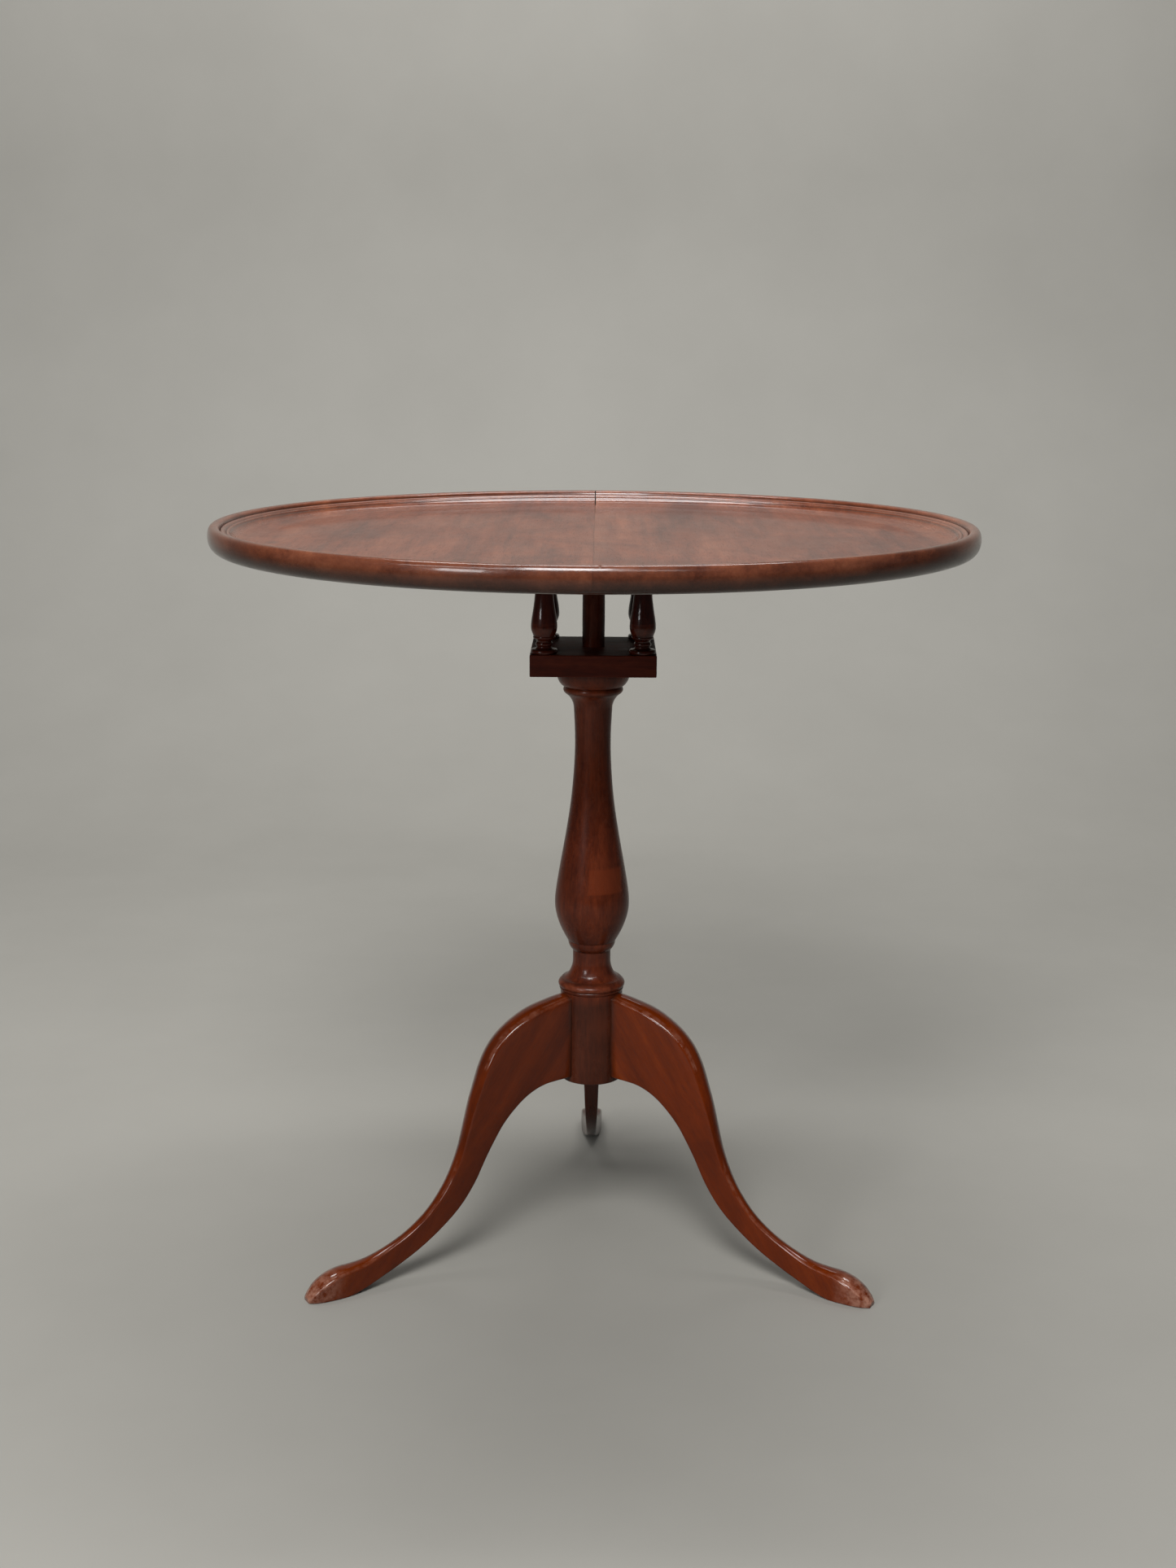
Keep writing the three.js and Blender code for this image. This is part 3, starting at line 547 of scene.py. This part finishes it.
def lower_board():
    low, high = LOWER_BOARD
    board = rounded_block("cage_lower_board_fine", low, high, 1.3, 4)
    cut(board, [rod(BORE_RADIUS, (0, 0, low.z - 5), (0, 0, high.z + 5), 96)])
    shade_by(board, "wear_and_sheen", lambda p, n: 0.5 if 0.3 < abs(n.z) < 0.9 else 0)
    # Dust, and painted shade from the top above, darken the upper faces.
    shade_by(board, "dirt_and_shade", lambda p, n: 0.5 if n.z > 0.9 else 0)
    paint(board, wood("cage_lower_board_wood", CAGE_PALETTE, "X", 3.3, rough=0.5, coat=0.0))
    hand_in(board, "cage", "cage_lower_board")


def upper_board():
    low, high = UPPER_BOARD
    half = high.x
    board = rounded_block("cage_upper_board_fine", (-half, -half, low.z),
                          (half, half, high.z), 1, 3)
    waste = rounded_block("cutter", (HINGE_X, -half - 3, HINGE_Z),
                          (half + 4, half + 3, high.z + 4), 0.01, 1)
    nose_radius = high.z - HINGE_Z
    nose = ((HINGE_X, -half - 6, HINGE_Z), (HINGE_X, half + 6, HINGE_Z))
    cut(waste, [rod(nose_radius, *nose, 128)])
    cut(board, [waste])
    pintles = []
    for y in (low.y, high.y):
        inner = math.copysign(half - 3, y)
        pintles.append(rod(PINTLE_RADIUS, (HINGE_X, inner, HINGE_Z), (HINGE_X, y, HINGE_Z)))
    cut(board, pintles, "UNION")
    bores = [rod(BORE_RADIUS, (0, 0, low.z - 5), (0, 0, high.z + 5), 96),
             rod(COUNTERBORE_RADIUS, (0, 0, high.z - COUNTERBORE_DEPTH), (0, 0, high.z + 5), 96)]
    plate_low, plate_high = mm_box("strike_plate")
    ease = Vector((0.3, 0.3, 0.3))
    recess_low = plate_low - ease - Vector((3, 0, 0))
    recess_high = plate_high + ease
    bores.append(rounded_block("cutter", recess_low, recess_high, 0.05, 1))
    bolt_low, bolt_high = mm_box("catch_bolt")
    pocket_low = (plate_low.x - 3, bolt_low.y - 0.6, bolt_low.z - 0.6)
    pocket_high = (plate_low.x + 12, bolt_high.y + 0.6, bolt_high.z + 0.6)
    bores.append(rounded_block("cutter", pocket_low, pocket_high, 0.05, 1))
    cut(board, bores)
    shade_by(board, "wear_and_sheen", lambda p, n: 0.4 if 0.3 < abs(n.z) < 0.9 else 0)
    # Painted shade from the top above, over the whole board.
    shade_by(board, "dirt_and_shade", lambda p, n: 0.25)
    paint(board, wood("cage_upper_board_wood", CAGE_PALETTE, "X", 8.1, rough=0.4, coat=0.2))
    hand_in(board, "cage", "cage_upper_board")


def baluster(node, seed):
    low, high = mm_box(node)
    centre = ((low.x + high.x) / 2, (low.y + high.y) / 2)
    foot, head = LOWER_BOARD[1].z + 0.3, UPPER_BOARD[0].z - 0.3
    o = Outline(0, foot).line(12.0, foot)
    o.bend((13.1, foot + 1.9), (11.6, foot + 3.8)).line(8.2, foot + 4.2)
    o.bend((6.9, foot + 5.2), (7.0, foot + 6.6)).bend((9.0, foot + 8.6), (7.0, foot + 10.6))
    o.bend((7.0, foot + 12.6), (9.6, foot + 13.6)).bend((10.8, foot + 14.9), (9.9, foot + 16.0))
    belly = [(12.1, 22.8), (11.7, 31), (10.1, 41), (8.8, 51), (8.4, 57.5)]
    o.smooth([(radius, foot + height) for radius, height in belly])
    o.bend((8.3, foot + 60), (9.8, foot + 61)).bend((10.8, foot + 62.2), (9.8, foot + 63.4))
    o.bend((7.2, foot + 64.8), (8.6, head - 5.2)).line(11.4, head - 4.4)
    o.bend((12.6, head - 2), (11.8, head)).line(0, head)
    post = turned(node + "_fine", o.points, 72, centre, shake=0.15)
    shade_by(post, "wear_and_sheen", lambda p, n: 0.35 if abs(p.z - foot - 22.8) < 5 else 0)
    shade_by(post, "dirt_and_shade", lambda p, n: 0.6 if n.z > 0.5 and p.z < foot + 16 else 0)
    paint(post, wood(node + "_wood", CAGE_PALETTE, "Z", seed, rough=0.28, coat=0.3))
    hand_in(post, "cage", node)


lower_board()
upper_board()
for index, corner in enumerate(("front_left", "front_right", "rear_left", "rear_right")):
    baluster("baluster_" + corner, 1.7 + index)


# ---- Pillar ---------------------------------------------------------------------------------

def pillar_outline():
    base, shoulder = PILLAR_BASE, LOWER_BOARD[0].z - 0.3
    o = Outline(0, base).line(HUB_RADIUS - 1.6, base)
    o.bend((HUB_RADIUS, base), (HUB_RADIUS, base + 1.6), 5)
    for height in (190, 210, 230, 250, 260.2):
        o.line(HUB_RADIUS, height)
    o.bend((32.0, 261.9), (30.9, 263.4), 10)
    o.bend((33.6, 266.2), (31.4, 269), 12).line(29, 271.6)
    o.bend((23.2, 273.2), (20.8, 279.4), 10).bend((18.4, 284.4), (18.3, 290), 8)
    o.line(18.3, 300.4).line(19.7, 302).bend((22.8, 305.4), (23, 310.4), 10)
    vase = [(24.4, 312.4), (30.4, 324), (34.7, 337), (36, 348.5), (34.8, 363), (31, 386.5),
            (25, 420.4), (20.4, 452.7), (17.7, 484.7), (17.1, 513), (18.5, 541.8)]
    o.smooth(vase, 10)
    o.bend((20, 550.4), (26.8, 554.6), 12).bend((30, 557.6), (27.4, 560.8), 10)
    o.bend((33.2, 563.2), (35.2, 573), 12).line(35.2, shoulder - 0.8).line(34.4, shoulder)
    o.line(SPINDLE_RADIUS, shoulder)
    for height in (600, 625, 650):
        o.line(SPINDLE_RADIUS, height)
    return o.line(SPINDLE_RADIUS, PILLAR_TOP - 0.6).line(SPINDLE_RADIUS - 0.6, PILLAR_TOP) \
        .line(0, PILLAR_TOP).points


CREVICES = (262.9, 271.9, 301.2, 311.6, 555.2, 561.2)
HUB_TOP = 260
VASE_PATCH = ((-3, 28), (363, 387))
HUB_PATCH = ((-4, 19), (222, 244))


def pillar():
    post = turned("pillar_fine", pillar_outline(), 160, shake=0.25)
    shade_by(post, "wear_and_sheen", lambda p, n: 0.45 if 264 < p.z < 270 or 557 < p.z < 559 else 0.1)
    shade_by(post, "dirt_and_shade", pillar_shade_and_dirt)
    shade_by(post, "inlay", pillar_inlay)
    paint(post, wood("pillar_wood", PILLAR_PALETTE, "Z", 5.2, rough=0.27, coat=0.15, figure=1.2))
    hand_in(post, "base", "pillar")


def pillar_shade_and_dirt(p, normal):
    """Darker in the crevices, with painted shade on the hub, on the pillar below the vase's
    middle, and on the shaft and capital under the top.
    """
    crevice = 0.6 * max(1 - abs(p.z - c) / 2.6 for c in CREVICES)
    # Painted shade: the hub, the pillar below the vase's middle, and the shaft up under the top.
    hub = 0.75 if p.z < HUB_TOP else 0
    vase = min(max((420 - p.z) / 50, 0), 1) * 0.28
    shaft = min(max((p.z - 380) / 130, 0), 1) * 0.25
    return max(crevice, hub, vase, shaft)


def pillar_inlay(p, normal):
    """Two small patches let into the front, one in the vase and one in the hub."""
    for (left, right), (bottom, top) in (VASE_PATCH, HUB_PATCH):
        if p.y < 0 and left < p.x < right and bottom < p.z < top:
            return 1
    return 0


pillar()


# ---- Legs -----------------------------------------------------------------------------------

# Stations from the hub to the toe: upper edge, lower edge (distance from the pillar's axis,
# height) and half thickness.
LEG_STATIONS = [
    ((24, 258.5), (24, 175.8), 10.4),
    ((46.4, 254.1), (36, 175.8), 12),
    ((70.7, 247.3), (47.2, 175.2), 12.2),
    ((93.8, 234.6), (57.4, 173.5), 11.4),
    ((109.7, 219.3), (68.7, 169.4), 11),
    ((119.9, 201.2), (80.1, 162.6), 10.7),
    ((127.1, 181.2), (92.2, 151.7), 10.2),
    ((133.1, 163.4), (101.7, 140.5), 9.5),
    ((138.4, 144.2), (108.8, 129.1), 8.7),
    ((145.3, 120.4), (119.1, 110.4), 7.6),
    ((154.7, 97.8), (131.6, 86), 7),
    ((165.8, 79.5), (146.4, 65), 6.4),
    ((181, 62), (165.4, 47), 5.7),
    ((201, 47), (188.9, 30.2), 5.3),
    ((223.2, 35.8), (213.4, 17.4), 5.7),
    ((242.8, 28.6), (233.2, 9.6), 7.4),
    ((257.9, 26), (248.6, 4), 9),
    ((272, 24.6), (265, 0), 10.6),
    ((284, 21), (280, 0), 11.4),
    ((294.6, 15), (292, 0), 10.8),
    ((301.6, 8.4), (300.4, 0), 8.6),
    ((306, 3.6), (305.6, 0), 5),
]
CROWN = 0.2
STEPS_PER_STATION = 6


def leg_section(upper, lower, half):
    """Corners round one section: flat sides, eased lower edges, crisp arrises and a crown."""
    edge = upper - lower
    length = edge.length
    lift = edge / length
    ease = min(1.6, half * 0.3)
    side = []
    for i in range(5):
        angle = math.radians(90 - 90 * i / 4)
        wide = half - ease + ease * math.cos(angle)
        side.append((wide, ease - ease * math.sin(angle)))
    for share in (0.15, 0.3, 0.5, 0.7, 0.85):
        side.append((half * (1 + 0.02 * math.sin(math.pi * share)), length * share))
    arris = min(3.0, half * 0.27)
    rise = CROWN * half
    for i in range(4):
        angle = math.radians(90 * i / 3)
        wide = half - arris + arris * math.cos(angle)
        side.append((wide, length - arris + arris * math.sin(angle)))
    for i in range(1, 7):
        wide = (half - arris) * math.cos(math.radians(90 * i / 6))
        side.append((wide, length + rise * (1 - (wide / (half - arris)) ** 2)))
    ring = []
    for wide, up in side:
        point = lower + lift * up
        ring.append((point.x, wide, max(point.y, 0)))
    mirrored = [(x, -y, z) for x, y, z in reversed(ring[:-1])]
    return ring + mirrored


def leg(node, direction, seed):
    uppers = [Vector(upper) for upper, _, _ in LEG_STATIONS]
    lowers = [Vector(lower) for _, lower, _ in LEG_STATIONS]
    halves = [Vector((half, 0)) for _, _, half in LEG_STATIONS]
    rings = []
    for i in range(len(LEG_STATIONS) - 1):
        steps = STEPS_PER_STATION if i < len(LEG_STATIONS) - 2 else STEPS_PER_STATION + 1
        for step in range(steps):
            t = step / STEPS_PER_STATION
            upper, lower = spline_point(uppers, i, t), spline_point(lowers, i, t)
            rings.append(leg_section(upper, lower, spline_point(halves, i, t).x))
    clear = [ring for ring in rings if min(x - hub_surface(y) for x, y, _ in ring) > 0.5]
    shoulder = rings[len(rings) - len(clear) - 1]
    fitted = [[(hub_surface(y), y, z) for _, y, z in shoulder]] + clear
    n = len(fitted[0])
    verts = [corner for ring in fitted for corner in ring]
    faces = []
    for i in range(len(fitted) - 1):
        for j in range(n):
            k = (j + 1) % n
            faces.append((i * n + j, i * n + k, (i + 1) * n + k, (i + 1) * n + j))
    faces += [tuple(reversed(range(n))), tuple(range(len(verts) - n, len(verts)))]
    limb = new_object(node + "_fine", verts, faces, 40)
    shade_by(limb, "wear_and_sheen", leg_wear_and_sheen)
    shade_by(limb, "polish", lambda p, n: 1 if 0.3 < abs(n.y) < 0.95 and n.z > 0 else 0.2)
    # Painted shade: darker where the leg meets the hub, over the whole rear leg under the table,
    # and a little over the left leg.
    shade = {"leg_rear": 0.65, "leg_left": 0.25}.get(node, 0)
    shade_by(limb, "dirt_and_shade", lambda p, n: max(0.7 - (p.x - HUB_RADIUS) / 7, shade))
    paint(limb, wood(node + "_wood", LEG_PALETTE, "Z", seed, rough=0.23, coat=0.4, figure=0.5,
                     lean=35, shine=0.08))
    limb.matrix_world = Matrix.Rotation(math.radians(direction), 4, "Z")
    return hand_in(limb, "base", node)


def hub_surface(across):
    """How far out the hub's surface is at a distance across the leg; the leg just touches it."""
    return math.sqrt(HUB_RADIUS**2 - across * across) - 0.2


def leg_wear_and_sheen(p, normal):
    """A scuffed toe, and a lighter line along the upper arrises that is partly wear and partly
    painted highlight.
    """
    toe = max((p.x - 268) / 40, 0)
    # Painted highlight, with some rubbing, along the upper arrises.
    arris = 0.2 if 0.35 < normal.z < 0.9 and abs(normal.y) > 0.35 else 0
    return toe * 0.9 + arris


for (node, direction), seed in zip(LEG_DIRECTIONS.items(), (2.9, 7.3, 9.6)):
    leg(node, direction, seed)


# ---- Metal fittings ----------------------------------------------------------------------------

aged_brass = metal("aged_brass", colour(0xB08A45), colour(0x4A3316), 0.36)
dull_steel = metal("dull_steel", colour(0x7A736B), colour(0x2E2620), 0.42, 3.0)


def from_cad(node, body, material, ease=0.25):
    """A copy of a CAD piece with its edges eased."""
    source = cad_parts[node]
    copy = bpy.data.objects.new(node + "_fine", source.data.copy())
    bpy.context.scene.collection.objects.link(copy)
    bm = bmesh.new()
    bm.from_mesh(copy.data)
    bmesh.ops.remove_doubles(bm, verts=bm.verts, dist=1e-6)
    bmesh.ops.dissolve_limit(bm, angle_limit=math.radians(1), verts=bm.verts, edges=bm.edges)
    bm.to_mesh(copy.data)
    bm.free()
    bevel = copy.modifiers.new("ease", "BEVEL")
    bevel.width = ease * MM
    bevel.segments = 2
    bevel.limit_method = "ANGLE"
    bevel.angle_limit = math.radians(40)
    apply_modifiers(copy)
    crease(copy)
    paint(copy, material)
    return hand_in(copy, body, node)


def screw(node, body, material, heading="up"):
    """A countersunk slotted screw in the CAD screw's place."""
    low, high = mm_box(node)
    if heading == "up":
        base, length = Vector(((low.x + high.x) / 2, (low.y + high.y) / 2, low.z)), high.z - low.z
    else:
        base, length = Vector((low.x, (low.y + high.y) / 2, (low.z + high.z) / 2)), high.x - low.x
    o = Outline(0, 0).line(3.8, 0).bend((4, 0), (4, 0.25), 3).line(1.9, 2.6)
    o.line(1.9, length - 4).line(0.2, length).line(0, length)
    made = turned(node + "_fine", o.points, 40)
    cut(made, [rounded_block("cutter", (-6, -0.45, -1), (6, 0.45, 0.9), 0.02, 1)])
    turn = Matrix.Identity(4) if heading == "up" else Matrix.Rotation(math.radians(90), 4, "Y")
    slant = Matrix.Rotation(noise.noise(base * 0.1) * 3, 4, "Z")
    made.data.transform(Matrix.Translation(base * MM) @ turn @ slant)
    paint(made, material)
    return hand_in(made, body, node)


def retaining_screw():
    low, high = mm_box("retaining_screw")
    o = Outline(0, low.z).line(2.6, low.z + 5).line(2.6, high.z - 3.3).line(5.3, high.z - 3.3)
    o.bend((5.6, high.z - 0.2), (0, high.z), 10)
    made = turned("retaining_screw_fine", o.points, 48)
    cut(made, [rounded_block("cutter", (-8, -0.6, high.z - 1.3), (8, 0.6, high.z + 2), 0.02, 1)])
    paint(made, dull_steel)
    hand_in(made, "base", "retaining_screw")


def retaining_washer():
    low, high = mm_box("retaining_washer")
    o = Outline(2.9, low.z).line(14.7, low.z).line(15, low.z + 0.3).line(15, high.z - 0.3)
    o.line(14.7, high.z).line(2.9, high.z).line(2.9, low.z)
    made = turned("retaining_washer_fine", o.points, 72)
    paint(made, aged_brass)
    hand_in(made, "base", "retaining_washer")


def catch_knob():
    low, high = mm_box("catch_knob")
    centre = ((low.x + high.x) / 2, (low.y + high.y) / 2)
    z = low.z
    o = Outline(0, z).bend((5.2, z), (5.2, z + 3.4), 10).bend((5.2, z + 6.4), (2.8, z + 7.6), 10)
    o.line(2.8, z + 9.4).line(2, z + 10.4).line(2, high.z).line(0, high.z)
    made = turned("catch_knob_fine", o.points, 64, centre)
    paint(made, aged_brass)
    hand_in(made, "catch_bolt", "catch_knob")


retaining_screw()
retaining_washer()
catch_knob()
from_cad("catch_case", "top", aged_brass)
from_cad("catch_bolt", "catch_bolt", aged_brass)
from_cad("strike_plate", "cage", aged_brass, 0.15)
for i in range(1, 9):
    screw(f"cleat_screw_{i}", "top", dull_steel)
for i in range(1, 5):
    screw(f"catch_screw_{i}", "top", aged_brass)
for i in (1, 2):
    screw(f"strike_screw_{i}", "cage", aged_brass, "across")


# ---- Floor, light and camera -------------------------------------------------------------------

def pale_stage():
    """A plain pale floor that sweeps up into a backdrop behind the table."""
    wide, near, back, rise, bend = 12.0, -12.0, 2.6, 6.0, 1.2
    profile = [(near, 0)]
    for i in range(17):
        angle = math.radians(90 * i / 16)
        profile.append((back - bend + bend * math.sin(angle), bend - bend * math.cos(angle)))
    profile.append((back, rise))
    verts = [(x, y, z) for x in (-wide, wide) for y, z in profile]
    n = len(profile)
    faces = [(i, n + i, n + i + 1, i + 1) for i in range(n - 1)]
    floor = new_object("stage_floor", [Vector(v) / MM for v in verts], faces, 60)
    s = Shader("pale_floor")
    place = s.node("TexCoord").outputs["Object"]
    cloud = s.noise(place, 3.0, 4, 0.6)
    tone = s.mix(s.ramp(cloud, 0.3, 0.7), colour(0x7E7C76), colour(0x82807A))
    paint(floor, s.finish(Base_Color=tone, Roughness=0.75))


def area_light(name, place, aim, size, power, tint=(1, 1, 1)):
    data = bpy.data.lights.new(name, "AREA")
    data.shape = "RECTANGLE"
    data.size, data.size_y = size
    data.energy = power
    data.color = tint
    lamp = bpy.data.objects.new(name, data)
    lamp.location = place
    lamp.rotation_euler = (Vector(aim) - Vector(place)).to_track_quat("-Z", "Y").to_euler()
    lamp.visible_camera = False
    bpy.context.scene.collection.objects.link(lamp)


def lights():
    area_light("high_panel", (-0.3, -2.1, 2.65), (0, -0.2, 0.6), (1.0, 1.1), 98)
    area_light("high_strip", (-0.6, -2.2, 2.3), (0, -0.2, 0.6), (4.0, 0.14), 32)
    area_light("left_key", (-2.1, -2.9, 1.5), (0, 0, 0.4), (0.8, 0.8), 38)
    area_light("back_light", (0.15, 2.0, 2.7), (0, 0, 0.5), (0.8, 0.3), 4)
    area_light("backdrop_wash", (0, 0.6, 3.4), (0, 2.4, 0.4), (3.0, 0.6), 125)
    world = bpy.data.worlds.new("studio")
    world.use_nodes = True
    world.node_tree.nodes["Background"].inputs[0].default_value = (0.9, 0.95, 1.0, 1)
    world.node_tree.nodes["Background"].inputs[1].default_value = 0.1
    bpy.context.scene.world = world


CAMERA_PLACE = (0.0064, -1.9208, 0.9009)
CAMERA_YAW = 0.325
CAMERA_PITCH = 12.78
CAMERA_ROLL = 0.3
CAMERA_LENS = 47.12


def camera():
    data = bpy.data.cameras.new("camera")
    data.lens = CAMERA_LENS
    data.sensor_width = 36
    cam = bpy.data.objects.new("camera", data)
    tilt = Matrix.Rotation(math.radians(90 - CAMERA_PITCH), 4, "X")
    roll = Matrix.Rotation(math.radians(CAMERA_ROLL), 4, "Z")
    yaw = Matrix.Rotation(math.radians(CAMERA_YAW), 4, "Z")
    cam.matrix_world = Matrix.Translation(CAMERA_PLACE) @ yaw @ tilt @ roll
    bpy.context.scene.collection.objects.link(cam)
    bpy.context.scene.camera = cam


pale_stage()
lights()
camera()
bpy.context.scene.view_settings.view_transform = "Standard"
